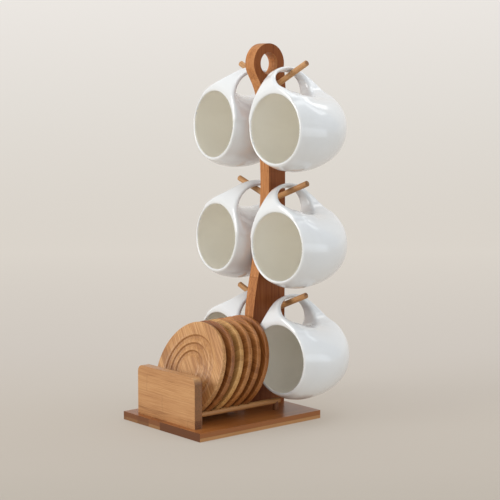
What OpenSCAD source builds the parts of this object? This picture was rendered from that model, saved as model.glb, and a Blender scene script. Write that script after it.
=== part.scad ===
/* [Base board] */
// Width of the base board, left to right
base_w = 126; // [110:1:150]
// Depth of the base board, front to back
base_d = 159.2; // [159.2]
// Thickness of the base board
base_t = 8.4; // [7:0.2:12]

/* [Post] */
// Thickness of the post, left to right
post_t = 13.6; // [12:0.2:15]
// Outside radius of the ring head
ring_r = 20.4; // [18:0.2:21]
// Radius of the finger hole in the ring head
ring_hole_r = 11.4; // [8:0.2:13]

/* [Pegs] */
// Diameter of each mug peg
peg_d = 6; // [5:0.25:6]
// Length of a peg outside the post
peg_len = 50; // [44:1:50]
// Upward tilt of the pegs in the middle row, in degrees
peg_tilt = 20; // [20]
// Depth of each peg's socket in the post
peg_socket = 5; // [3:0.5:5.5]

/* [Front panel] */
// Width of the front panel
panel_w = 93.2; // [86:0.2:98]
// Thickness of the front panel
panel_t = 9.3; // [9.3]
// Height of the front panel above the base board
panel_h = 50.8; // [40:0.2:56]

/* [Coaster cradle] */
// Diameter of each cradle rail
rail_d = 5.7; // [5:0.1:6]
// Distance of each rail from the centre plane
rail_x = 31.5; // [31.5]
// Radius of a coaster
coaster_r = 50; // [50]
// Thickness of a coaster
coaster_t = 5.8; // [5:0.2:6]

/* [Hidden] */

back_y = base_d / 2;
panel_y = -73;            // front face of the panel
rail_z = 17.9;            // rail centre above the table
rail_end = 51;            // rear end of the rails
foot_y = 45.5;            // upright under each rail's rear end
peg_y = 68;               // plane of all the pegs
peg_z = [342.4, 226, 109.6];
row_tilt = [6, 0, 2];   // the other rows are drilled a little steeper
mug_tilt = 22;            // lean of a hanging mug
root_x = post_t / 2;

// smooth curve through a list of points
function lerp(a, b, t) = a + (b - a) * t;
function cr(a, b, c, d, t) = 0.5 * ((2 * b) + (c - a) * t + (2 * a - 5 * b + 4 * c - d) * t * t + (3 * b - a - 3 * c + d) * t * t * t);
function spline(p, n) = let (m = len(p)) concat([for (i = [0:m - 2], k = [0:n - 1])
  let (a = p[max(i - 1, 0)], b = p[i], c = p[i + 1], d = p[min(i + 2, m - 1)]) cr(a, b, c, d, k / n)], [p[m - 1]]);

// a screw standing on its point-up axis, its flat countersunk head at z = 0
module screw(d, len, head) {
  rotate_extrude($fn = 32) polygon([[0, 0.3], [head / 2, 0.3], [head / 2, 0.7], [d / 2, 0.7 + (head - d) / 2],
    [d / 2, len - 3], [0.3, len], [0, len]]);
  }
module screw_recess(d, head) {
  translate([0, 0, -1]) cylinder(d = head + 0.2, h = 1.7, $fn = 32);
  translate([0, 0, 0.7]) cylinder(r1 = head / 2 + 0.1, r2 = d / 2 + 0.1, h = (head - d) / 2, $fn = 32);
  cylinder(d = d + 0.2, h = 12, $fn = 32);
}
post_screw_y = [46, 69];
panel_screw_x = [-18, 18];

module base_board() color([0.62, 0.40, 0.22]) difference() {
  translate([-base_w / 2, -base_d / 2, 0]) cube([base_w, base_d, base_t]);
  for (y = post_screw_y) translate([0, y, 0]) screw_recess(4, 8);
  for (x = panel_screw_x) translate([x, panel_y + panel_t / 2, 0]) screw_recess(3.5, 7);
  for (s = [-1, 1]) translate([s * rail_x, foot_y, base_t - 4]) cylinder(d = rail_d, h = 5, $fn = 32);
}

// side outline of the post: front edge, ring head, straight back
front_edge = [[34.8, base_t], [35.2, 60], [36, 101], [38, 118.7], [41.2, 137], [45.2, 156], [50.6, 184], [55.2, 207],
  [57.2, 230], [57, 254], [55, 284], [52.2, 312], [49.9, 331.4], [46.7, 340.4], [43.6, 346.2], [39.5, 353]];
ring_edge = [for (a = [208:-4:-8]) [56.8 + ring_r * cos(a), 363.8 + ring_r * sin(a)]];
module post_outline() {
  difference() {
    polygon(concat(spline(front_edge, 4), ring_edge, [[78.4, 352], [back_y, 338], [back_y, base_t]]));
    translate([56.8, 363.8]) circle(r = ring_hole_r, $fn = 72);
  }
}
// slab with its outline in the Y-Z plane, centred on x = 0
module slab(t) { rotate([90, 0, 90]) translate([0, 0, -t / 2]) linear_extrude(t) children(); }
module post() color([0.55, 0.32, 0.17]) difference() {
  slab(post_t) post_outline();
  for (row = [0:2], s = [-1, 1]) peg_place(s, row) translate([0, 0, -peg_socket]) cylinder(d = peg_d, h = 20, $fn = 48);
  for (y = post_screw_y) translate([0, y, 0]) cylinder(d = 4, h = 30.5, $fn = 32);
}

// z axis along a peg, from the post's face outward
module peg_place(s, row) { translate([s * root_x, peg_y, peg_z[row]]) rotate([0, s * (90 - peg_tilt - row_tilt[row]), 0]) children(); }
module peg(s, row) color([0.80, 0.63, 0.42]) peg_place(s, row)
  rotate_extrude($fn = 48) polygon([[0, -peg_socket], [peg_d / 2, -peg_socket], [peg_d / 2, peg_len - 0.8], [peg_d / 2 - 0.8, peg_len], [0, peg_len]]);
module peg_top_right() peg(1, 0);
module peg_mid_right() peg(1, 1);
module peg_low_right() peg(1, 2);
module peg_top_left() peg(-1, 0);
module peg_mid_left() peg(-1, 1);
module peg_low_left() peg(-1, 2);

module post_screws() color("silver") for (y = post_screw_y) translate([0, y, 0]) screw(4, 30, 8);
module panel_screws() color("silver") for (x = panel_screw_x) translate([x, panel_y + panel_t / 2, 0]) screw(3.5, 26, 7);

module front_panel() color([0.76, 0.55, 0.35]) difference() {
  rotate([90, 0, 0]) translate([0, 0, -(panel_y + panel_t)]) linear_extrude(panel_t) union() {
    translate([-panel_w / 2, base_t]) square([panel_w, panel_h - 7]);
    for (s = [-1, 1]) translate([s * (panel_w / 2 - 7), base_t + panel_h - 7]) circle(r = 7, $fn = 48);
    translate([-panel_w / 2 + 7, base_t + panel_h - 7.01]) square([panel_w - 14, 7.01]);
  }
  for (s = [-1, 1]) translate([s * rail_x, panel_y + panel_t - 5, rail_z]) rotate([-90, 0, 0]) cylinder(d = rail_d, h = 20, $fn = 48);
  for (x = panel_screw_x) translate([x, panel_y + panel_t / 2, 0]) cylinder(d = 3.5, h = 26.5, $fn = 32);
}

// coasters, front to back: centre of the front face, and lean of the top towards the post
coaster_y = [-44.2, -32.7, -21.2, -9.7, 1.8, 13.3];
coaster_lean = [21.5, 21, 20.5, 20, 19.2, 18];
coaster_z = 57.6;
module coaster_place(i) { translate([0, coaster_y[i], coaster_z]) rotate([90 - coaster_lean[i], 0, 0]) children(); }
// three ripple grooves are turned in the front face, and the rear edge is rounded
module coaster(i) color([0.78, 0.58, 0.38]) coaster_place(i) rotate_extrude($fn = 96) polygon([
  [0, -coaster_t], [coaster_r - 1.8, -coaster_t], [coaster_r - 0.6, 0.6 - coaster_t], [coaster_r, 1.8 - coaster_t],
  [coaster_r, -0.5], [coaster_r - 0.5, 0],
  for (r = [36.6, 28.4, 20.4], p = [[0, 0], [-0.5, -0.6], [-1.6, -1.5], [-2.9, -1.6], [-4.4, -1], [-5.9, -0.3], [-7.6, 0]]) [r + p[0], p[1]],
  [0, 0]]);
module coaster_1() coaster(0);
module coaster_2() coaster(1);
module coaster_3() coaster(2);
module coaster_4() coaster(3);
module coaster_5() coaster(4);
module coaster_6() coaster(5);

// rails: each coaster sits in a shallow notch on the inner side of both
module rail(s) color([0.76, 0.57, 0.36]) difference() {
  translate([s * rail_x, panel_y + panel_t - 5, rail_z]) rotate([-90, 0, 0])
    rotate_extrude($fn = 48) polygon([[0, 0], [rail_d / 2, 0], [rail_d / 2, rail_end - panel_y - panel_t + 4.2], [rail_d / 2 - 0.8, rail_end - panel_y - panel_t + 5], [0, rail_end - panel_y - panel_t + 5]]);
  for (i = [0:5]) coaster_place(i) translate([0, 0, -coaster_t - 0.5]) cylinder(r = coaster_r + 0.35, h = coaster_t + 1, $fn = 96);
}
module rail_left() rail(-1);
module rail_right() rail(1);
module rail_feet() color([0.72, 0.52, 0.32]) difference() {
  for (s = [-1, 1]) translate([s * rail_x, foot_y, base_t - 4]) cylinder(d = rail_d, h = rail_z - base_t + 4, $fn = 32);
  for (s = [-1, 1]) translate([s * rail_x, 0, rail_z]) rotate([-90, 0, 0]) cylinder(d = rail_d, h = 60, $fn = 48);
}

// mug, lying on its side: opening at y = 0 facing -Y, foot at y = 80, handle upwards
loop_u = 60.3;              // inside top of the handle above the mug's axis
loop_t = 37;              // distance behind the rim where the sail gives way to the ribbon
peg_s = 22.5;              // how far along its peg a mug hangs
play = 1.1;               // gap between a peg and the handle that rests on it
// rings of the belly: distance behind the rim, half width, half height, drop of the ring's centre;
// the belly hangs low, so its top dips under the handle
outside = [[0, 37.2, 36.9, 0.8], [2.5, 38.4, 38.2, 1], [9.5, 41, 40.5, 2.2], [17, 42.3, 40, 4.3], [25, 42.7, 38.8, 6.4], [33, 42.4, 37.6, 7.3],
  [42, 41.2, 36.6, 7.2], [52, 38.8, 35.2, 6], [62, 34.8, 33.4, 3.6], [69, 30.4, 30.8, 1.2], [75, 25, 26.2, -1.2], [79, 21.4, 22, -2.2], [80, 20, 20.4, -2.4]];
inside = [[-1, 34, 33.8, 0.8], [2.5, 35, 34.9, 1], [9.5, 37.8, 37.3, 2.2], [17, 39.4, 37, 4.3], [25, 39.8, 35.8, 6.4], [33, 39.4, 34.6, 7.3],
  [42, 38.2, 33.6, 7.2], [52, 35.6, 32, 6], [62, 31, 29.6, 3.6], [69, 25.4, 25.6, 1.2], [73.5, 18, 18.6, -0.6], [75.6, 9, 9, -1]];
module loft(r, n = 36) {
  m = len(r);
  polyhedron(
    [for (k = [0:m - 1], j = [0:n - 1]) [r[k][1] * cos(360 * j / n), r[k][0], r[k][2] * sin(360 * j / n) - r[k][3]]],
    concat([[for (j = [n - 1:-1:0]) j]], [[for (j = [0:n - 1]) (m - 1) * n + j]],
      [for (k = [0:m - 2], j = [0:n - 1]) [k * n + j, (k + 1) * n + (j + 1) % n, (k + 1) * n + j]],
      [for (k = [0:m - 2], j = [0:n - 1]) [k * n + j, k * n + (j + 1) % n, (k + 1) * n + (j + 1) % n]]));
}
// side outline of the handle and its finger hole, as distance behind the rim and height above the axis
arch = [[0, 37], [2, 42], [5.6, 48.2], [10.6, 54.2], [18, 59.9], [27, 63.3], [37, 64.3], [46, 62.9], [53.5, 59], [60, 53.2], [65.5, 46.2], [70, 38]];
hole = [[5.5, 38], [7.4, 42], [11, 47.8], [16, 53.2], [23, 57.7], [31, 59.9], [39, 60.3], [46, 58.2], [51, 53.8], [54, 47.4], [54.5, 40.4], [53, 34]];
// half outlines of the handle seen along the mug's axis: a sail that narrows from the rim, and a ribbon behind
sail = [[36, 6], [34.4, 14], [30.6, 22.4], [25.2, 30.6], [18.8, 38], [13.4, 44.6], [9.2, 51], [6.6, 57], [5.6, 61.5], [5.4, 66]];
ribbon = [[16, 26], [12.4, 31], [9.6, 37], [7.4, 44], [6, 51], [5.5, 57], [5.4, 62], [5.4, 66]];
function flip(p) = [for (i = [len(p) - 1:-1:0]) [-p[i][0], p[i][1]]];
module both_halves(p) polygon(concat(spline(p, 3), flip(spline(p, 3))));
module behind(y0, y1) translate([0, y1, 0]) rotate([90, 0, 0]) linear_extrude(y1 - y0) children();
module handle() intersection() {
  slab(90) difference() {
    polygon(concat(spline(arch, 3), [[70, 20], [0, 20]]));
    polygon(concat(spline(hole, 3), [[53, 19], [5.5, 19]]));
  }
  union() {
    behind(0, loop_t) both_halves(sail);
    behind(loop_t - 0.01, 71) both_halves(ribbon);
  }
}
mug_len = 1.045;          // depth of a mug against the 80 mm of the tables
module mug() scale([1, mug_len, 1]) difference() {
  union() {
    loft(outside);
    handle();
  }
  loft(inside);
  translate([0, 82, 2.3]) rotate([90, 0, 0]) cylinder(r = 17, h = 3.4, $fn = 36);
}
// hung over a peg at a point behind the rim: the handle stands square to the peg and the opening turns a little outwards
module hang(s, row, at, turn, nod) peg_place(s, row) translate([s * -(peg_d / 2 + play), 0, peg_s])
  rotate([0, s * (peg_tilt + row_tilt[row] - mug_tilt - 90), 0]) rotate([nod, 0, s * turn]) translate([0, -at, -loop_u]) mug();
glaze = [0.93, 0.93, 0.92];
module mug_top_right() color(glaze) hang(1, 0, 43, 2, 1);
module mug_mid_right() color(glaze) hang(1, 1, 41.5, 3.5, 1);
module mug_low_right() color(glaze) hang(1, 2, 35.1, 2.5, 0);
module mug_top_left() color(glaze) hang(-1, 0, 37.5, 5, -1);
module mug_mid_left() color(glaze) hang(-1, 1, 33.5, 5, -1);
module mug_low_left() color(glaze) hang(-1, 2, 31.5, 4, 0);

base_board();
post();
front_panel();
rail_left();
rail_right();
rail_feet();
peg_top_right();
peg_mid_right();
peg_low_right();
peg_top_left();
peg_mid_left();
peg_low_left();
post_screws();
panel_screws();
coaster_1();
coaster_2();
coaster_3();
coaster_4();
coaster_5();
coaster_6();
mug_top_right();
mug_mid_right();
mug_low_right();
mug_top_left();
mug_mid_left();
mug_low_left();
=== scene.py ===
import bpy
import bmesh
import math
import numpy as np
from mathutils import Matrix, Vector


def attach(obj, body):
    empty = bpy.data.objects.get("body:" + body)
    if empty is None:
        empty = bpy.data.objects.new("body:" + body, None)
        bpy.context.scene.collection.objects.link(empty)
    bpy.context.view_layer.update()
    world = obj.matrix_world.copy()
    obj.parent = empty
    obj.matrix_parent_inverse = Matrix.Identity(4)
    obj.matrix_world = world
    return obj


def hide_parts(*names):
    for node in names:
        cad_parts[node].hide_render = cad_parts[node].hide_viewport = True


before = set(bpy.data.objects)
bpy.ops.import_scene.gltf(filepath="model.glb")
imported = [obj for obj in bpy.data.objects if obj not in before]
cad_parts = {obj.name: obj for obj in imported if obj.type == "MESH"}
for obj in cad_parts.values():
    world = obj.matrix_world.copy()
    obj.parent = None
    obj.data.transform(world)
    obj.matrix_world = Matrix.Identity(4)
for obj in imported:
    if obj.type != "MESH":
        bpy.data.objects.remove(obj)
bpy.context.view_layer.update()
MM = 0.001


# ------------------------------------------------------------------ helpers
def srgb(r, g, b):
    out = []
    for v in (r, g, b):
        v = v / 255.0
        out.append(v / 12.92 if v <= 0.04045 else ((v + 0.055) / 1.055) ** 2.4)
    return tuple(out) + (1.0,)


def catmull(p, n):
    """Smooth curve through a list of tuples."""
    p = [np.array(q, float) for q in p]
    out = []
    m = len(p)
    for i in range(m - 1):
        a, b, c, d = p[max(i - 1, 0)], p[i], p[i + 1], p[min(i + 2, m - 1)]
        for k in range(n):
            t = k / n
            out.append(0.5 * ((2 * b) + (c - a) * t + (2 * a - 5 * b + 4 * c - d) * t * t + (3 * b - a - 3 * c + d) * t ** 3))
    out.append(p[-1])
    return np.array(out)


def new_object(name, mesh):
    ob = bpy.data.objects.new(name, mesh)
    bpy.context.scene.collection.objects.link(ob)
    return ob


def mesh_from(name, verts, faces, smooth=True):
    me = bpy.data.meshes.new(name)
    me.from_pydata([tuple(map(float, v)) for v in verts], [], [tuple(map(int, f)) for f in faces])
    me.validate()
    me.update()
    if smooth:
        me.polygons.foreach_set("use_smooth", [True] * len(me.polygons))
    return me


# ------------------------------------------------------------------ node helper
class Mat:
    def __init__(self, name):
        self.m = bpy.data.materials.new(name)
        self.m.use_nodes = True
        self.t = self.m.node_tree
        self.t.nodes.clear()
        self.out = self.t.nodes.new("ShaderNodeOutputMaterial")
        self.b = self.t.nodes.new("ShaderNodeBsdfPrincipled")
        self.t.links.new(self.b.outputs["BSDF"], self.out.inputs["Surface"])

    def node(self, kind, **kw):
        n = self.t.nodes.new(kind)
        for k, v in kw.items():
            setattr(n, k, v)
        return n

    def put(self, sock, v):
        if isinstance(v, bpy.types.NodeSocket):
            self.t.links.new(v, sock)
        else:
            sock.default_value = v

    def math(self, op, a, b=0.0, c=0.0, clamp=False):
        n = self.node("ShaderNodeMath", operation=op, use_clamp=clamp)
        for s, v in zip(n.inputs, (a, b, c)):
            self.put(s, v)
        return n.outputs[0]

    def noise(self, vec, scale=1.0, detail=2.0, rough=0.5, dist=0.0):
        n = self.node("ShaderNodeTexNoise")
        self.put(n.inputs["Vector"], vec)
        n.inputs["Scale"].default_value = scale
        n.inputs["Detail"].default_value = detail
        n.inputs["Roughness"].default_value = rough
        n.inputs["Distortion"].default_value = dist
        return n.outputs["Fac"]

    def mapping(self, vec, loc=(0, 0, 0), rot=(0, 0, 0), scale=(1, 1, 1)):
        n = self.node("ShaderNodeMapping")
        self.put(n.inputs["Vector"], vec)
        n.inputs["Location"].default_value = loc
        n.inputs["Rotation"].default_value = rot
        n.inputs["Scale"].default_value = scale
        return n.outputs[0]

    def ramp(self, fac, stops, interp="LINEAR"):
        n = self.node("ShaderNodeValToRGB")
        n.color_ramp.interpolation = interp
        e = n.color_ramp.elements
        while len(e) < len(stops):
            e.new(0.5)
        for i, (p, c) in enumerate(stops):
            e[i].position = p
            e[i].color = c if isinstance(c, tuple) else (c, c, c, 1)
        self.put(n.inputs["Fac"], fac)
        return n.outputs["Color"]

    def mix(self, fac, a, b, mode="MIX"):
        n = self.node("ShaderNodeMix", data_type="RGBA", blend_type=mode)
        n.clamp_factor = True
        self.put(n.inputs[0], fac)
        self.put(n.inputs[6], a)
        self.put(n.inputs[7], b)
        return n.outputs[2]

    def mixf(self, fac, a, b):
        n = self.node("ShaderNodeMix", data_type="FLOAT")
        self.put(n.inputs[0], fac)
        self.put(n.inputs[2], a)
        self.put(n.inputs[3], b)
        return n.outputs[0]

    def xyz(self, vec):
        n = self.node("ShaderNodeSeparateXYZ")
        self.put(n.inputs[0], vec)
        return n.outputs[0], n.outputs[1], n.outputs[2]

    def vec(self, x, y, z):
        n = self.node("ShaderNodeCombineXYZ")
        for s, v in zip(n.inputs, (x, y, z)):
            self.put(s, v)
        return n.outputs[0]

    def white(self, vec):
        n = self.node("ShaderNodeTexWhiteNoise", noise_dimensions="3D")
        self.put(n.inputs["Vector"], vec)
        return n.outputs["Value"], n.outputs["Color"]

    def bump(self, height, strength, distance):
        n = self.node("ShaderNodeBump")
        n.inputs["Strength"].default_value = strength
        n.inputs["Distance"].default_value = distance
        self.put(n.inputs["Height"], height)
        self.put(self.b.inputs["Normal"], n.outputs[0])
        return n.outputs[0]


def bamboo(name, dark, mid, light, rot=(0, 0, 0), strip=(17.0, 5.0), seed=0.0, tone=0.5, rough=0.42, coat=0.12,
           coat_rough=0.25, layers=None, fibre=0.55, end_dark=0.75, knuckle=0.5, spec=0.4, side_shade=None, groove_shade=False, lath=None, edge_blocks=0.75, wear="point"):
    """Laminated bamboo. The grain runs along local X after rot; strip is the width and height of one lath in mm."""
    M = Mat(name)
    tc = M.node("ShaderNodeTexCoord")
    P = M.mapping(tc.outputs["Object"], loc=(0, 0, 0), rot=rot, scale=(1000, 1000, 1000))
    N = M.mapping(tc.outputs["Normal"], rot=rot)
    u, v, w = M.xyz(P)
    # slight waviness of the laths
    wob = M.math("MULTIPLY", M.math("SUBTRACT", M.noise(M.vec(M.math("MULTIPLY", u, 0.01), M.math("MULTIPLY", v, 0.02), M.math("MULTIPLY", w, 0.02)), 1.0, 1.0), 0.5), 1.4)
    v2 = M.math("ADD", M.math("ADD", v, wob), 300.0 + seed * 3.7)
    w2 = M.math("ADD", w, 300.0 + seed * 1.3)
    iv = M.math("FLOOR", M.math("DIVIDE", v2, strip[0]))
    iw = M.math("FLOOR", M.math("DIVIDE", w2, strip[1]))
    r1, rc = M.white(M.vec(iv, iw, seed + 0.37))
    ra, rb, rcc = M.xyz(rc)
    # fibres, fine and broad, each lath with its own offset
    du = M.math("MULTIPLY", r1, 700.0)
    ushift = M.math("ADD", u, du)
    f1 = M.noise(M.vec(M.math("MULTIPLY", ushift, 0.028), M.math("MULTIPLY", v2, 1.15), M.math("MULTIPLY", w2, 1.15)), 1.0, 3.0, 0.62, 0.15)
    f2 = M.noise(M.vec(M.math("MULTIPLY", ushift, 0.075), M.math("MULTIPLY", v2, 3.6), M.math("MULTIPLY", w2, 3.6)), 1.0, 2.0, 0.6, 0.0)
    f3 = M.noise(M.vec(M.math("MULTIPLY", ushift, 0.006), M.math("MULTIPLY", v2, 0.24), M.math("MULTIPLY", w2, 0.24)), 1.0, 2.0, 0.5, 0.3)
    big = M.noise(M.vec(M.math("MULTIPLY", u, 0.012), M.math("MULTIPLY", v, 0.02), M.math("MULTIPLY", w, 0.02)), 1.0, 2.0, 0.5)
    fib = M.math("ADD", M.math("MULTIPLY", f1, 0.5), M.math("ADD", M.math("MULTIPLY", f2, 0.28), M.math("MULTIPLY", f3, 0.22)))
    t = M.math("ADD", M.math("MULTIPLY", M.math("SUBTRACT", fib, 0.5), 2.6 * fibre), 0.5)
    t = M.math("ADD", t, M.math("MULTIPLY", M.math("SUBTRACT", r1, 0.5), tone))
    t = M.math("ADD", t, M.math("MULTIPLY", M.math("SUBTRACT", big, 0.5), 0.5), clamp=True)
    col = M.ramp(t, [(0.05, dark), (0.5, mid), (0.95, light)])
    # some laths are a little redder or greyer
    col = M.mix(M.math("MULTIPLY", rb, 0.22), col, srgb(150, 92, 52))
    # knuckles of the cane: short dark wavy bars at a different place on each lath
    kn = M.math("FRACT", M.math("ADD", M.math("DIVIDE", M.math("ADD", u, M.math("MULTIPLY", f3, 5.0)), 142.0), M.math("MULTIPLY", ra, 13.0)))
    bar = M.math("SUBTRACT", 1.0, M.math("MULTIPLY", M.math("ABSOLUTE", M.math("SUBTRACT", kn, 0.5)), 90.0), clamp=True)
    glow = M.math("SUBTRACT", 1.0, M.math("MULTIPLY", M.math("ABSOLUTE", M.math("SUBTRACT", kn, 0.5)), 18.0), clamp=True)
    col = M.mix(M.math("MULTIPLY", glow, 0.16 * knuckle), col, light)
    col = M.mix(M.math("MULTIPLY", bar, 0.5 * knuckle), col, dark)
    # glue lines between laths
    fv = M.math("FRACT", M.math("DIVIDE", v2, strip[0]))
    fw = M.math("FRACT", M.math("DIVIDE", w2, strip[1]))
    gv = M.math("LESS_THAN", fv, 0.22 / strip[0])
    gw = M.math("LESS_THAN", fw, 0.22 / strip[1])
    col = M.mix(M.math("MULTIPLY", M.math("MAXIMUM", gv, gw), 0.42), col, dark)
    # end grain is darker and speckled with the bundles' ends
    nu, nv, nw = M.xyz(N)
    endm = M.math("MULTIPLY", M.math("SUBTRACT", M.math("ABSOLUTE", nu), 0.6), 3.0, clamp=True)
    speck = M.noise(M.vec(M.math("MULTIPLY", u, 0.1), M.math("MULTIPLY", v2, 1.1), M.math("MULTIPLY", w2, 1.1)), 1.0, 3.0, 0.7)
    sp = M.ramp(speck, [(0.36, srgb(62, 32, 14)), (0.62, srgb(128, 76, 40))])
    endc = M.mix(M.math("MULTIPLY", r1, 0.3), sp, mid)
    col = M.mix(M.math("MULTIPLY", endm, end_dark), col, endc)
    if layers is not None:
        # laminated sheet seen on its edge: an upper sheet of one tone over a lower one
        z0, upper, lower = layers
        xo, yo, zo = M.xyz(tc.outputs["Object"])
        xn, yn, zn = M.xyz(tc.outputs["Normal"])
        side = M.math("MULTIPLY", M.math("SUBTRACT", 0.8, M.math("ABSOLUTE", zn)), 4.0, clamp=True)
        up = M.math("GREATER_THAN", M.math("ADD", zo, M.math("MULTIPLY", M.math("SUBTRACT", f3, 0.5), 0.0006)), z0)
        band = M.mix(up, lower, upper)
        band = M.mix(M.math("MULTIPLY", M.math("SUBTRACT", f1, 0.3), 0.9, clamp=True), band, dark)
        blocks = M.math("MULTIPLY", endm, M.math("ADD", M.math("MULTIPLY", r1, edge_blocks), 0.45))
        band = M.mix(blocks, band, srgb(86, 50, 30))
        line = M.math("LESS_THAN", M.math("ABSOLUTE", M.math("SUBTRACT", zo, z0)), 0.00016)
        band = M.mix(M.math("MULTIPLY", line, 0.45), band, srgb(60, 34, 18))
        col = M.mix(M.math("MULTIPLY", side, 0.72), col, band)
    if lath is not None:
        # one lath of a darker cane, darkened further as painted shade on that side of the disc
        on = M.math("MULTIPLY", M.math("GREATER_THAN", v, lath[0]), M.math("LESS_THAN", v, lath[1]))
        col = M.mix(M.math("MULTIPLY", on, lath[2]), col, dark)
    if side_shade is not None:
        # painted shade: the broad faces facing ±x are multiplied darker than the narrow front edge
        fx = M.xyz(tc.outputs["Normal"])[0]
        broad = M.math("MULTIPLY", M.math("SUBTRACT", M.math("ABSOLUTE", fx), 0.55), 5.0, clamp=True)
        col = M.mix(broad, col, M.mix(1.0, col, side_shade, "MULTIPLY"))
    if groove_shade:
        # painted shade in the turned coves: a little darker with depth, darkest along each cove's outer wall
        gx, gy, gz = M.xyz(tc.outputs["Object"])
        rr = M.math("SQRT", M.math("ADD", M.math("MULTIPLY", gx, gx), M.math("MULTIPLY", gy, gy)))
        inn = M.math("LESS_THAN", rr, 0.0372)
        dp = M.math("MULTIPLY", M.math("MULTIPLY", gz, -620.0, clamp=True), M.math("GREATER_THAN", gz, -0.0025))
        dp = M.math("MULTIPLY", dp, inn)
        col = M.mix(M.math("MULTIPLY", dp, 0.3), col, M.mix(0.4, dark, mid))
        front = M.math("GREATER_THAN", gz, -0.0025)
        for R in (36.6, 28.4, 20.4):
            wall = M.math("SUBTRACT", 1.0, M.math("DIVIDE", M.math("ABSOLUTE", M.math("SUBTRACT", M.math("MULTIPLY", rr, 1000.0), R - 0.8)), 1.1), clamp=True)
            col = M.mix(M.math("MULTIPLY", M.math("MULTIPLY", wall, front), 0.6), col, dark)
    # worn, slightly paler arrises
    if wear == "point":
        geo = M.node("ShaderNodeNewGeometry")
        edge = M.node_rgb(M.ramp(geo.outputs["Pointiness"], [(0.515, 0.0), (0.56, 1.0)]))
    else:
        ax, ay, az_ = [M.math("ABSOLUTE", q) for q in M.xyz(tc.outputs["Normal"])]
        both = M.math("MULTIPLY", ax, M.math("MAXIMUM", ay, az_))
        if wear == "any":
            both = M.math("MAXIMUM", both, M.math("MULTIPLY", ay, az_))
        edge = M.math("SUBTRACT", M.math("MULTIPLY", both, 3.2), 0.5, clamp=True)
    edgen = M.math("MULTIPLY", M.math("MULTIPLY", edge, M.noise(P, 0.35, 2.0)), 0.55)
    col = M.mix(edgen, col, light)
    M.put(M.b.inputs["Base Color"], col)
    rg = M.math("ADD", rough - 0.06, M.math("MULTIPLY", fib, 0.12))
    rg = M.math("ADD", rg, M.math("MULTIPLY", edgen, 0.12))
    M.put(M.b.inputs["Roughness"], rg)
    M.b.inputs["Specular IOR Level"].default_value = spec
    M.b.inputs["Coat Weight"].default_value = coat
    M.b.inputs["Coat Roughness"].default_value = coat_rough
    hgt = M.math("SUBTRACT", M.math("ADD", M.math("MULTIPLY", f1, 0.6), M.math("MULTIPLY", f2, 0.4)), M.math("MULTIPLY", M.math("MAXIMUM", gv, gw), 0.35))
    M.bump(hgt, 0.22, 0.00016)
    return M.m


def node_rgb(self, sock):
    n = self.node("ShaderNodeRGBToBW")
    self.put(n.inputs[0], sock)
    return n.outputs[0]


Mat.node_rgb = node_rgb


def glaze(name, base, warm, inner=False):
    """White fired glaze: faint tone clouds, softly uneven surface, a thinner warmer edge at the lip and arrises."""
    M = Mat(name)
    tc = M.node("ShaderNodeTexCoord")
    P = M.mapping(tc.outputs["Object"], scale=(1000, 1000, 1000))
    n1 = M.noise(P, 0.035, 2.0, 0.5)
    n2 = M.noise(P, 0.35, 3.0, 0.6)
    speck = M.noise(P, 1.7, 1.0, 0.5)
    col = M.mix(M.math("MULTIPLY", n1, 0.55), base, warm)
    col = M.mix(M.math("MULTIPLY", M.math("GREATER_THAN", speck, 0.79), 0.14), col, srgb(170, 160, 145))
    geo = M.node("ShaderNodeNewGeometry")
    edge = M.node_rgb(M.ramp(geo.outputs["Pointiness"], [(0.53, 0.0), (0.6, 1.0)]))
    col = M.mix(M.math("MULTIPLY", edge, 0.25), col, warm)
    if inner:
        # painted shade: the inside glaze darkens a little towards +y, roughly deeper into the cavity
        x, y, z = M.xyz(tc.outputs["Object"])
        deep = M.math("MULTIPLY", y, 1.0 / 0.075, clamp=True)
        col = M.mix(M.math("MULTIPLY", deep, 0.1), col, srgb(228, 222, 208))
    M.put(M.b.inputs["Base Color"], col)
    M.put(M.b.inputs["Roughness"], M.math("ADD", 0.16 if not inner else 0.3, M.math("MULTIPLY", n2, 0.06)))
    M.b.inputs["Specular IOR Level"].default_value = 0.5
    M.b.inputs["Coat Weight"].default_value = 0.9 if not inner else 0.2
    M.b.inputs["Coat Roughness"].default_value = 0.05 if not inner else 0.15
    h = M.math("ADD", M.math("MULTIPLY", M.noise(P, 0.05, 1.0, 0.4), 1.0), M.math("MULTIPLY", n2, 0.035))
    M.bump(h, 0.12, 0.0012)
    return M.m


def steel(name):
    M = Mat(name)
    tc = M.node("ShaderNodeTexCoord")
    P = M.mapping(tc.outputs["Object"], scale=(1000, 1000, 1000))
    n = M.noise(P, 0.9, 3.0, 0.6)
    sc = M.noise(M.mapping(P, scale=(6.0, 0.3, 1.0)), 1.0, 2.0)
    M.put(M.b.inputs["Base Color"], M.mix(n, srgb(196, 198, 200), srgb(158, 158, 152)))
    M.b.inputs["Metallic"].default_value = 1.0
    M.put(M.b.inputs["Roughness"], M.math("ADD", 0.28, M.math("MULTIPLY", sc, 0.2)))
    M.bump(sc, 0.15, 0.0001)
    return M.m


# ------------------------------------------------------------------ the mug, one continuous glazed form
OUT = [(0, 37.2, 36.9, 0.8), (2.5, 38.4, 38.2, 1), (9.5, 41, 40.5, 2.2), (17, 42.3, 40, 4.3), (25, 42.7, 38.8, 6.4), (33, 42.4, 37.6, 7.3),
       (42, 41.2, 36.6, 7.2), (52, 38.8, 35.2, 6), (62, 34.8, 33.4, 3.6), (69, 30.4, 30.8, 1.2), (75, 25, 26.2, -1.2), (79, 21.4, 22, -2.2), (80, 20, 20.4, -2.4)]
INN = [(-1, 34, 33.8, 0.8), (2.5, 35, 34.9, 1), (9.5, 37.8, 37.3, 2.2), (17, 39.4, 37, 4.3), (25, 39.8, 35.8, 6.4), (33, 39.4, 34.6, 7.3),
       (42, 38.2, 33.6, 7.2), (52, 35.6, 32, 6), (62, 31, 29.6, 3.6), (69, 25.4, 25.6, 1.2), (73.5, 18, 18.6, -0.6), (75.6, 9, 9, -1)]
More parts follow.
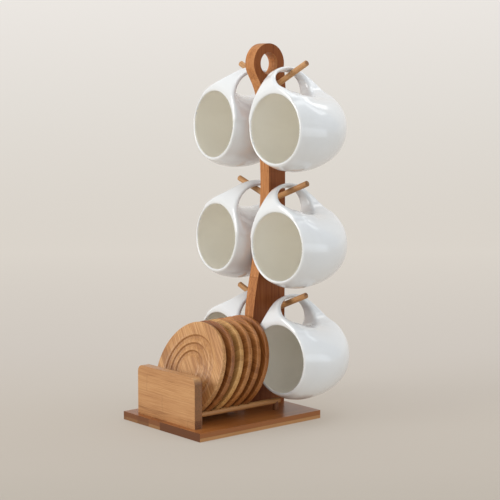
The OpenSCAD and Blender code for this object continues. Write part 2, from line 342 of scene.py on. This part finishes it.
ARCH = [(0, 37), (2, 42), (5.6, 48.2), (10.6, 54.2), (18, 59.9), (27, 63.3), (37, 64.3), (46, 62.9), (53.5, 59), (60, 53.2), (65.5, 46.2), (70, 38)]
HOLE = [(5.5, 38), (7.4, 42), (11, 47.8), (16, 53.2), (23, 57.7), (31, 59.9), (39, 60.3), (46, 58.2), (51, 53.8), (54, 47.4), (54.5, 40.4), (53, 34)]
SAIL = [(36, 6), (34.4, 14), (30.6, 22.4), (25.2, 30.6), (18.8, 38), (13.4, 44.6), (9.2, 51), (6.6, 57), (5.6, 61.5), (5.4, 66)]
RIBBON = [(14, 26), (11.4, 31), (9.2, 37), (7.4, 44), (6, 51), (5.5, 57), (5.4, 62), (5.4, 66)]
MUG_LEN = 1.045
LOOP_U = 60.3


def smin(a, b, k):
    h = np.clip(0.5 + 0.5 * (b - a) / k, 0.0, 1.0)
    return b * (1 - h) + a * h - k * h * (1 - h)


def smax(a, b, k):
    return -smin(-a, -b, k)


def poly_sdf(poly, y, z):
    """Signed distance to a closed polygon, negative inside, for arrays y and z."""
    y, z = np.broadcast_arrays(y, z)
    best = np.full(y.shape, 1e9)
    inside = np.zeros(y.shape, bool)
    m = len(poly)
    for i in range(m):
        ay, az = poly[i]
        by, bz = poly[(i + 1) % m]
        ey, ez = by - ay, bz - az
        l2 = ey * ey + ez * ez
        if l2 < 1e-12:
            continue
        t = np.clip(((y - ay) * ey + (z - az) * ez) / l2, 0, 1)
        dy, dz = y - ay - t * ey, z - az - t * ez
        best = np.minimum(best, dy * dy + dz * dz)
        c = (az > z) != (bz > z)
        if ez != 0:
            yi = ay + (z - az) * ey / ez
            inside ^= c & (y < yi)
    d = np.sqrt(best)
    return np.where(inside, -d, d)


def table(t):
    c = catmull(t, 8)
    return c[:, 0], c[:, 1], c[:, 2], c[:, 3]


T_OUT, T_INN = table(OUT), table(INN)
P_ARCH = [tuple(q) for q in catmull(ARCH, 5)] + [(70, 20), (0, 20)]
P_HOLE = [tuple(q) for q in catmull(HOLE, 5)] + [(53, 19), (5.5, 19)]
C_SAIL, C_RIB = catmull(SAIL, 5), catmull(RIBBON, 5)


def ring_field(tab, x, y, z):
    yc = np.clip(y, tab[0][0], tab[0][-1])
    a = np.interp(yc, tab[0], tab[1])
    b = np.interp(yc, tab[0], tab[2])
    dr = np.interp(yc, tab[0], tab[3])
    zz = z + dr
    k0 = np.sqrt((x / a) ** 2 + (zz / b) ** 2)
    k1 = np.sqrt((x / a ** 2) ** 2 + (zz / b ** 2) ** 2) + 1e-6
    return k0 * (k0 - 1.0) / k1


def mug_field(x, y, z):
    """Implicit mug: negative inside the clay. Lengths in mm, opening at y = 0, handle towards +z."""
    y = y / MUG_LEN
    body = smax(ring_field(T_OUT, x, y, z), y - 80.0, 3.0)
    side = smax(poly_sdf(P_ARCH, y, z), -poly_sdf(P_HOLE, y, z), 1.0)
    ws = np.interp(z, C_SAIL[:, 1], C_SAIL[:, 0])
    wr = np.interp(z, C_RIB[:, 1], C_RIB[:, 0])
    t = np.clip((y - 24.0) / 26.0, 0, 1)
    t = t * t * (3 - 2 * t)
    w = ws * (1 - t) + wr * t
    wide = (np.abs(x) - w) * 0.82
    han = smax(side, wide, 3.2)
    rear = np.clip((y - 40.0) / 16.0, 0, 1)
    solid = smin(body, han, 6.5 + 5.0 * rear)
    solid = smax(solid, -y, 1.8)
    cav = smax(ring_field(T_INN, x, y, z), y - 75.6, 6.0)
    solid = smax(solid, -cav, 1.9)
    foot = smax(np.sqrt(x ** 2 + (z + 2.3 - 4.6) ** 2) - 17.0, 78.6 - y, 0.8)
    solid = smax(solid, -foot, 1.2)
    return solid


def surface_nets(F, org, h):
    s = F < 0
    n = np.array(F.shape) - 1
    cnt = np.zeros(n, np.int8)
    for i in (0, 1):
        for j in (0, 1):
            for k in (0, 1):
                cnt += s[i:n[0] + i, j:n[1] + j, k:n[2] + k]
    act = (cnt > 0) & (cnt < 8)
    cells = np.argwhere(act)
    idx = np.full(act.shape, -1, np.int64)
    idx[act] = np.arange(len(cells))
    acc = np.zeros((len(cells), 3))
    num = np.zeros(len(cells))
    for ax in range(3):
        e = np.zeros(3, int)
        e[ax] = 1
        o1, o2 = [q for q in range(3) if q != ax]
        for a in (0, 1):
            for b in (0, 1):
                o = np.zeros(3, int)
                o[o1], o[o2] = a, b
                p0 = cells + o
                p1 = p0 + e
                f0 = F[p0[:, 0], p0[:, 1], p0[:, 2]]
                f1 = F[p1[:, 0], p1[:, 1], p1[:, 2]]
                m = (f0 < 0) != (f1 < 0)
                t = f0[m] / (f0[m] - f1[m])
                acc[m] += p0[m] + t[:, None] * e
                num[m] += 1
    verts = acc / num[:, None] * h + org
    faces = []
    for ax in range(3):
        u, v = (ax + 1) % 3, (ax + 2) % 3
        sl0 = [slice(None)] * 3
        sl1 = [slice(None)] * 3
        sl0[ax], sl1[ax] = slice(0, -1), slice(1, None)
        ch = s[tuple(sl0)] != s[tuple(sl1)]
        e = np.argwhere(ch)
        e = e[(e[:, u] > 0) & (e[:, v] > 0) & (e[:, u] < F.shape[u] - 1) & (e[:, v] < F.shape[v] - 1)]
        du = np.zeros(3, int)
        dv = np.zeros(3, int)
        du[u], dv[v] = 1, 1
        q = [e, e - du, e - du - dv, e - dv]
        ids = np.stack([idx[c[:, 0], c[:, 1], c[:, 2]] for c in q], 1)
        neg = s[e[:, 0], e[:, 1], e[:, 2]]
        ids[~neg] = ids[~neg][:, ::-1]
        faces.append(ids)
    return verts, np.concatenate(faces)


def build_mug_mesh(h=1.35):
    lo = np.array([-46.0, -4.0, -50.0])
    hi = np.array([46.0, 88.0, 68.0])
    n = np.ceil((hi - lo) / h).astype(int) + 1
    # keep x = 0 in the middle of the grid, so that both halves are alike
    lo[0] = -h * (n[0] - 1) / 2
    ax = [lo[i] + h * np.arange(n[i]) for i in range(3)]
    F = mug_field(ax[0][:, None, None], ax[1][None, :, None], ax[2][None, None, :])
    V, Q = surface_nets(F, lo, h)
    for _ in range(4):
        e = 0.05
        f = mug_field(V[:, 0], V[:, 1], V[:, 2])
        g = np.stack([(mug_field(V[:, 0] + e * (i == 0), V[:, 1] + e * (i == 1), V[:, 2] + e * (i == 2)) -
                       mug_field(V[:, 0] - e * (i == 0), V[:, 1] - e * (i == 1), V[:, 2] - e * (i == 2))) / (2 * e) for i in range(3)], 1)
        g2 = np.maximum((g ** 2).sum(1), 0.05)
        step = np.clip(f / g2, -1.2, 1.2)
        V = V - step[:, None] * g * 0.9
        # even out the quads along the surface
        if _ < 3:
            nb = np.zeros_like(V)
            c = np.zeros(len(V))
            for a, b in ((0, 1), (1, 2), (2, 3), (3, 0)):
                np.add.at(nb, Q[:, a], V[Q[:, b]])
                np.add.at(nb, Q[:, b], V[Q[:, a]])
                np.add.at(c, Q[:, a], 1)
                np.add.at(c, Q[:, b], 1)
            d = nb / np.maximum(c, 1)[:, None] - V
            gn = g / np.sqrt((g ** 2).sum(1))[:, None]
            d -= (d * gn).sum(1)[:, None] * gn
            V = V + 0.5 * d
    me = mesh_from("mug_mesh", V * MM, Q)
    # faces that look into the cavity take the inside glaze
    C = V[Q].mean(1)
    yy = C[:, 1] / MUG_LEN
    inner = (ring_field(T_INN, C[:, 0], yy, C[:, 2]) < 0.35) & (yy > 1.2) & (yy < 77.0)
    me.polygons.foreach_set("material_index", inner.astype(np.int32))
    me.update()
    return me


def Rx(a): return Matrix.Rotation(math.radians(a), 4, "X")
def Ry(a): return Matrix.Rotation(math.radians(a), 4, "Y")
def Rz(a): return Matrix.Rotation(math.radians(a), 4, "Z")
def T(x, y, z): return Matrix.Translation((x * MM, y * MM, z * MM))


PEG_Z = [342.4, 226.0, 109.6]
PEG_TILT = [26.0, 20.0, 22.0]
PLAY = 1.1
HANG = {
    "mug_top_right": (1, 0, 43, 2, 1), "mug_mid_right": (1, 1, 41.5, 3.5, 1), "mug_low_right": (1, 2, 35.1, 2.5, 0),
    "mug_top_left": (-1, 0, 37.5, 5, -1), "mug_mid_left": (-1, 1, 33.5, 5, -1), "mug_low_left": (-1, 2, 31.5, 4, 0)}


def hang_matrix(s, row, at, turn, nod):
    return (T(s * 6.8, 68, PEG_Z[row]) @ Ry(s * (90 - PEG_TILT[row])) @ T(-s * (3.0 + PLAY), 0, 22.5)
            @ Ry(s * (PEG_TILT[row] - 22.0 - 90.0)) @ Rz(s * turn) @ Rx(nod) @ T(0, -at, -LOOP_U))


glaze_out = glaze("glaze_outside", srgb(234, 236, 237), srgb(229, 228, 224))
# painted light: the inside takes a paler, warmer copy of the glaze, brightened to make up for the shade in the cavity
glaze_in_brightened = glaze("glaze_inside_brightened", srgb(248, 245, 236), srgb(246, 242, 231), inner=True)
mug_mesh = build_mug_mesh()
mug_mesh.materials.append(glaze_out)
mug_mesh.materials.append(glaze_in_brightened)
for name, p in HANG.items():
    # the turn goes into the mesh, so that the object's own box stays tight
    place = hang_matrix(*p)
    me = mug_mesh.copy()
    me.transform(place.to_3x3().to_4x4())
    me.update()
    ob = new_object("glazed_" + name, me)
    ob.location = place.to_translation()
    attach(ob, name)
    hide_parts(name)


# ------------------------------------------------------------------ coasters
COASTER_Y = [-44.2, -32.7, -21.2, -9.7, 1.8, 13.3]
COASTER_LEAN = [21.5, 21, 20.5, 20, 19.2, 18]
COASTER_Z = 57.6
CR, CT = 50.0, 5.8


def coaster_profile():
    """Radius and height from the middle of the front face, out, round the rim and back to the middle behind."""
    pr = [(0.0, 0.0), (5.0, 0.0), (10.0, 0.0)]

    for r in (20.4, 28.4, 36.6):
        # a cove with its steep wall outside, fading out towards the middle
        for dr, dz in ((8.0, 0.0), (7.0, -0.08), (5.9, -0.3), (4.9, -0.75), (3.9, -1.3), (2.9, -1.65), (2.0, -1.6), (1.2, -1.25), (0.5, -0.6), (0.12, -0.14), (-0.2, -0.02)):
            if r - dr > pr[-1][0] + 0.05:
                pr.append((r - dr, dz))
    pr.extend([(41.0, 0.0), (45.0, 0.0), (48.6, 0.0), (49.2, -0.04), (49.6, -0.18), (49.88, -0.45), (50.0, -0.85)])
    pr.append((50.0, -2.4))
    pr.append((50.0, -3.9))
    for i in range(1, 7):
        a = math.radians(90 * i / 6)
        pr.append((50.0 - 1.9 * (1 - math.cos(a)), -CT + 1.9 - 1.9 * math.sin(a)))
    pr.extend([(46.0, -CT), (30.0, -CT), (14.0, -CT), (0.0, -CT)])
    return pr


def lathe_mesh(name, pr, seg):
    V, Fc = [], []
    rings = []
    for r, z in pr:
        if r < 1e-6:
            rings.append([len(V)])
            V.append((0, 0, z))
        else:
            rings.append(list(range(len(V), len(V) + seg)))
            for j in range(seg):
                a = 2 * math.pi * j / seg
                V.append((r * math.cos(a), r * math.sin(a), z))
    for A, B in zip(rings, rings[1:]):
        for j in range(seg):
            k = (j + 1) % seg
            if len(A) == 1:
                Fc.append((A[0], B[j], B[k]))
            elif len(B) == 1:
                Fc.append((A[k], A[j], B[0]))
            else:
                Fc.append((A[j], B[j], B[k], A[k]))
    return mesh_from(name, np.array(V) * MM, Fc)


# dark, mid and light tone of each coaster, front to back, and the turn of its grain
COASTER_LOOK = [
    ((132, 80, 36), (190, 136, 80), (236, 188, 130), 45, 5.0, 0.17),
    ((100, 54, 20), (158, 98, 48), (194, 134, 78), 18, 6.5, 0.3),
    ((150, 98, 44), (206, 154, 88), (232, 186, 122), -30, 6.0, 0.3),
    ((124, 70, 26), (180, 118, 60), (212, 152, 92), -25, 7.0, 0.3),
    ((120, 66, 24), (174, 110, 54), (208, 146, 86), 8, 6.0, 0.3),
    ((108, 56, 20), (162, 98, 44), (196, 132, 72), 50, 6.5, 0.3)]
disc = lathe_mesh("coaster_mesh", coaster_profile(), 144)
for i in range(6):
    d, m, l, turn, sw, tn = COASTER_LOOK[i]
    mat = bamboo("bamboo_coaster_%d" % (i + 1), srgb(*d), srgb(*m), srgb(*l), rot=(0, 0, math.radians(turn)), strip=(sw, 40.0),
                 seed=3.0 + 5 * i, tone=tn, rough=0.42, coat=0.1, fibre=1.05, end_dark=0.2, knuckle=0.2, groove_shade=True, lath=(-30.0, -20.5, 0.5) if i == 0 else None)
    ob = new_object("turned_coaster_%d" % (i + 1), disc.copy())
    ob.data.materials.append(mat)
    ob.matrix_world = T(0, COASTER_Y[i], COASTER_Z) @ Rx(90 - COASTER_LEAN[i])
    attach(ob, "coaster_%d" % (i + 1))
    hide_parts("coaster_%d" % (i + 1))

# ------------------------------------------------------------------ frame finishes
GRAIN_X = (0, 0, 0)
GRAIN_Y = (0, 0, math.radians(-90))
GRAIN_Z = (0, math.radians(90), 0)
base_mat = bamboo("bamboo_base", srgb(100, 50, 18), srgb(148, 86, 38), srgb(186, 122, 66), rot=GRAIN_Y, strip=(19.0, 60.0), seed=11.0, tone=0.3,
                  rough=0.34, coat=0.16, coat_rough=0.14, wear="any", layers=(0.0036, srgb(164, 104, 60), srgb(208, 158, 104)), fibre=0.5, end_dark=0.7, knuckle=0.6, spec=0.25)
# the post's last argument paints shade on its broad side faces
post_mat = bamboo("bamboo_post", srgb(122, 64, 26), srgb(190, 126, 74), srgb(228, 170, 114), rot=GRAIN_Z, strip=(60.0, 6.0), seed=21.0, tone=0.25,
                  rough=0.45, coat=0.0, coat_rough=0.22, fibre=0.75, end_dark=0.3, knuckle=0.3, spec=0.18, wear="x", side_shade=(0.50, 0.34, 0.22, 1.0))
panel_mat = bamboo("bamboo_panel", srgb(128, 80, 40), srgb(186, 134, 84), srgb(214, 166, 114), rot=GRAIN_X, strip=(50.0, 17.0), seed=31.0, tone=0.18,
                   rough=0.42, coat=0.08, coat_rough=0.25, wear="any", fibre=0.75, end_dark=0.95, knuckle=0.4)
dowel_mat = bamboo("bamboo_dowel", srgb(128, 80, 40), srgb(180, 126, 74), srgb(212, 162, 106), rot=GRAIN_Y, strip=(30.0, 30.0), seed=41.0, tone=0.1,
                   rough=0.5, coat=0.05, fibre=0.6, end_dark=0.7, knuckle=0.2)
# painted shade: the rail feet take a darker copy of the dowel bamboo, standing in for the shadow they sit in
foot_mat_shaded = bamboo("bamboo_foot_painted_shade", srgb(84, 44, 18), srgb(120, 70, 34), srgb(156, 100, 56), rot=GRAIN_Z, strip=(30.0, 30.0), seed=42.0, tone=0.1,
                  rough=0.5, coat=0.05, fibre=0.6, end_dark=0.7, knuckle=0.2)
steel_mat = steel("zinc_steel")


def finish_cad(node, mat, bevel=None, slot=None, angle=38):
    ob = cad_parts[node]
    if not ob.material_slots:
        ob.data.materials.append(mat)
    for s in ob.material_slots:
        s.link = "OBJECT"
        s.material = mat
    w = ob.modifiers.new("weld", "WELD")
    w.merge_threshold = 0.00001
    if bevel:
        b = ob.modifiers.new("arris", "BEVEL")
        b.width = bevel * MM
        b.segments = 3
        b.limit_method = "ANGLE"
        b.angle_limit = math.radians(angle)
        b.harden_normals = True


finish_cad("base_board", base_mat, 0.5)
finish_cad("post", post_mat, 0.9)
finish_cad("front_panel", panel_mat, 0.7)
finish_cad("rail_left", dowel_mat, 0.15)
finish_cad("rail_right", dowel_mat, 0.15)
finish_cad("rail_feet", foot_mat_shaded, 0.15)
for row, nm in enumerate(("top", "mid", "low")):
    for s, side in ((1, "right"), (-1, "left")):
        a = -s * math.radians(PEG_TILT[row])
        pm = bamboo("bamboo_peg_%s_%s" % (nm, side), srgb(126, 76, 34), srgb(190, 138, 86), srgb(222, 178, 126), rot=(0, -a, 0), strip=(30.0, 30.0),
                    seed=50.0 + row * 3 + s, tone=0.1, rough=0.5, coat=0.05, fibre=0.85, end_dark=0.9, knuckle=0.2)
        finish_cad("peg_%s_%s" % (nm, side), pm, 0.15)
finish_cad("post_screws", steel_mat)
finish_cad("panel_screws", steel_mat)

# ------------------------------------------------------------------ stage: floor running up into a backdrop
def stage_mesh():
    W = 6.0
    prof = [(-5.0, 0.0), (-3.0, 0.0), (-1.5, 0.0), (-0.5, 0.0), (0.5, 0.0), (1.4, 0.0)]
    R = 1.6
    for i in range(1, 17):
        a = math.radians(90 * i / 16)
        prof.append((1.4 + R * math.sin(a), R * (1 - math.cos(a))))
    prof.append((1.4 + R, 4.5))
    # the sweep runs square to the camera's heading
    h = math.radians(50.31)
    fx, fy = -math.sin(h), math.cos(h)
    rx, ry = math.cos(h), math.sin(h)
    V, Fc = [], []
    for d, z in prof:
        for w in np.linspace(-W, W, 9):
            V.append((fx * d + rx * w, fy * d + ry * w, z - 0.0002))
    for i in range(len(prof) - 1):
        for j in range(8):
            a = i * 9 + j
            Fc.append((a, a + 1, a + 10, a + 9))
    return mesh_from("sweep_mesh", V, Fc)


Mf = Mat("plain_floor")
tcf = Mf.node("ShaderNodeTexCoord")
xf, yf, zf = Mf.xyz(tcf.outputs["Object"])
HEAD = math.radians(50.31)
far = Mf.math("ADD", Mf.math("MULTIPLY", xf, -math.sin(HEAD)), Mf.math("MULTIPLY", yf, math.cos(HEAD)))
flat = Mf.math("MULTIPLY", Mf.math("ADD", far, 0.3), 0.5 / 1.7, clamp=True)
flat = Mf.math("MINIMUM", flat, 0.5)
rise = Mf.math("MULTIPLY", Mf.math("DIVIDE", zf, 0.55, clamp=True), 0.5)
along = Mf.math("ADD", flat, rise)
# a low own glow evens out the sweep, so that it pales smoothly from the near floor to the top
GLOW = [(0.0, (0.28, 0.24, 0.19)), (0.03, (0.31, 0.265, 0.215)), (0.088, (0.33, 0.285, 0.235)), (0.2, (0.38, 0.34, 0.3)), (0.5, (0.5, 0.46, 0.41)), (0.75, (0.58, 0.55, 0.51)), (1.0, (0.66, 0.63, 0.60))]
nf = Mf.noise(Mf.mapping(tcf.outputs["Object"], scale=(30, 30, 30)), 1.0, 2.0)
Mf.put(Mf.b.inputs["Base Color"], Mf.mix(Mf.math("MULTIPLY", nf, 0.05), (0.225, 0.215, 0.2, 1.0), (0.2, 0.19, 0.175, 1.0)))
Mf.put(Mf.b.inputs["Emission Color"], Mf.ramp(along, [(p, c + (1.0,)) for p, c in GLOW]))
Mf.b.inputs["Emission Strength"].default_value = 1.0
Mf.b.inputs["Roughness"].default_value = 0.9
Mf.b.inputs["Specular IOR Level"].default_value = 0.1
floor = new_object("plain_floor", stage_mesh())
floor.data.materials.append(Mf.m)

# ------------------------------------------------------------------ light
world = bpy.data.worlds.new("studio")
bpy.context.scene.world = world
world.use_nodes = True
bg = world.node_tree.nodes["Background"]
bg.inputs["Color"].default_value = (0.92, 0.955, 1.0, 1)
bg.inputs["Strength"].default_value = 0.62


def area(name, loc, look, size, power, color=(1, 1, 1), size_y=None):
    L = bpy.data.lights.new(name, "AREA")
    L.energy = power
    L.color = color
    L.size = size
    if size_y:
        L.shape = "RECTANGLE"
        L.size_y = size_y
    ob = bpy.data.objects.new(name, L)
    bpy.context.scene.collection.objects.link(ob)
    ob.location = loc
    d = Vector(look) - Vector(loc)
    ob.rotation_euler = d.to_track_quat("-Z", "Y").to_euler()
    return ob


area("key_front", (-0.75, -2.0, 0.8), (0, 0, 0.2), 1.2, 27, (1.0, 0.985, 0.955))
area("top_soft", (0.1, 0.0, 1.9), (0, 0, 0.2), 1.4, 8, (0.99, 0.995, 1.0))
area("right_fill", (1.9, 0.55, 0.6), (0, 0, 0.2), 1.8, 2.0, (0.9, 0.955, 1.0), 1.2)
area("low_bounce", (1.05, 0.15, 0.02), (0.05, 0.06, 0.3), 1.9, 4.6, (0.82, 0.91, 1.0), 0.75)
area("window_left", (-0.08, 0.95, 1.5), (0.03, 0.05, 0.2), 0.42, 1.7, (1.0, 1.0, 1.0), 1.0)
area("window_right", (0.42, 0.95, 1.5), (0.03, 0.05, 0.2), 0.42, 1.7, (1.0, 1.0, 1.0), 1.0)

# ------------------------------------------------------------------ camera
az, el = math.radians(50.31), math.radians(7.39)
back = Vector((math.sin(az) * math.cos(el), -math.cos(az) * math.cos(el), math.sin(el)))
cam = bpy.data.cameras.new("camera")
cam.sensor_fit = "HORIZONTAL"
cam.sensor_width = 36.0
cam.lens = 105.36
cam.shift_x = 0.0428
cam.shift_y = 0.0246
cam.clip_start = 0.05
cam.clip_end = 40.0
camo = bpy.data.objects.new("camera", cam)
bpy.context.scene.collection.objects.link(camo)
camo.location = Vector((0.01034, 0.0, 0.1638)) + back * 1.4832
camo.rotation_euler = back.to_track_quat("Z", "Y").to_euler()
bpy.context.scene.camera = camo
bpy.context.scene.view_settings.view_transform = "Standard"
bpy.context.scene.view_settings.look = "None"
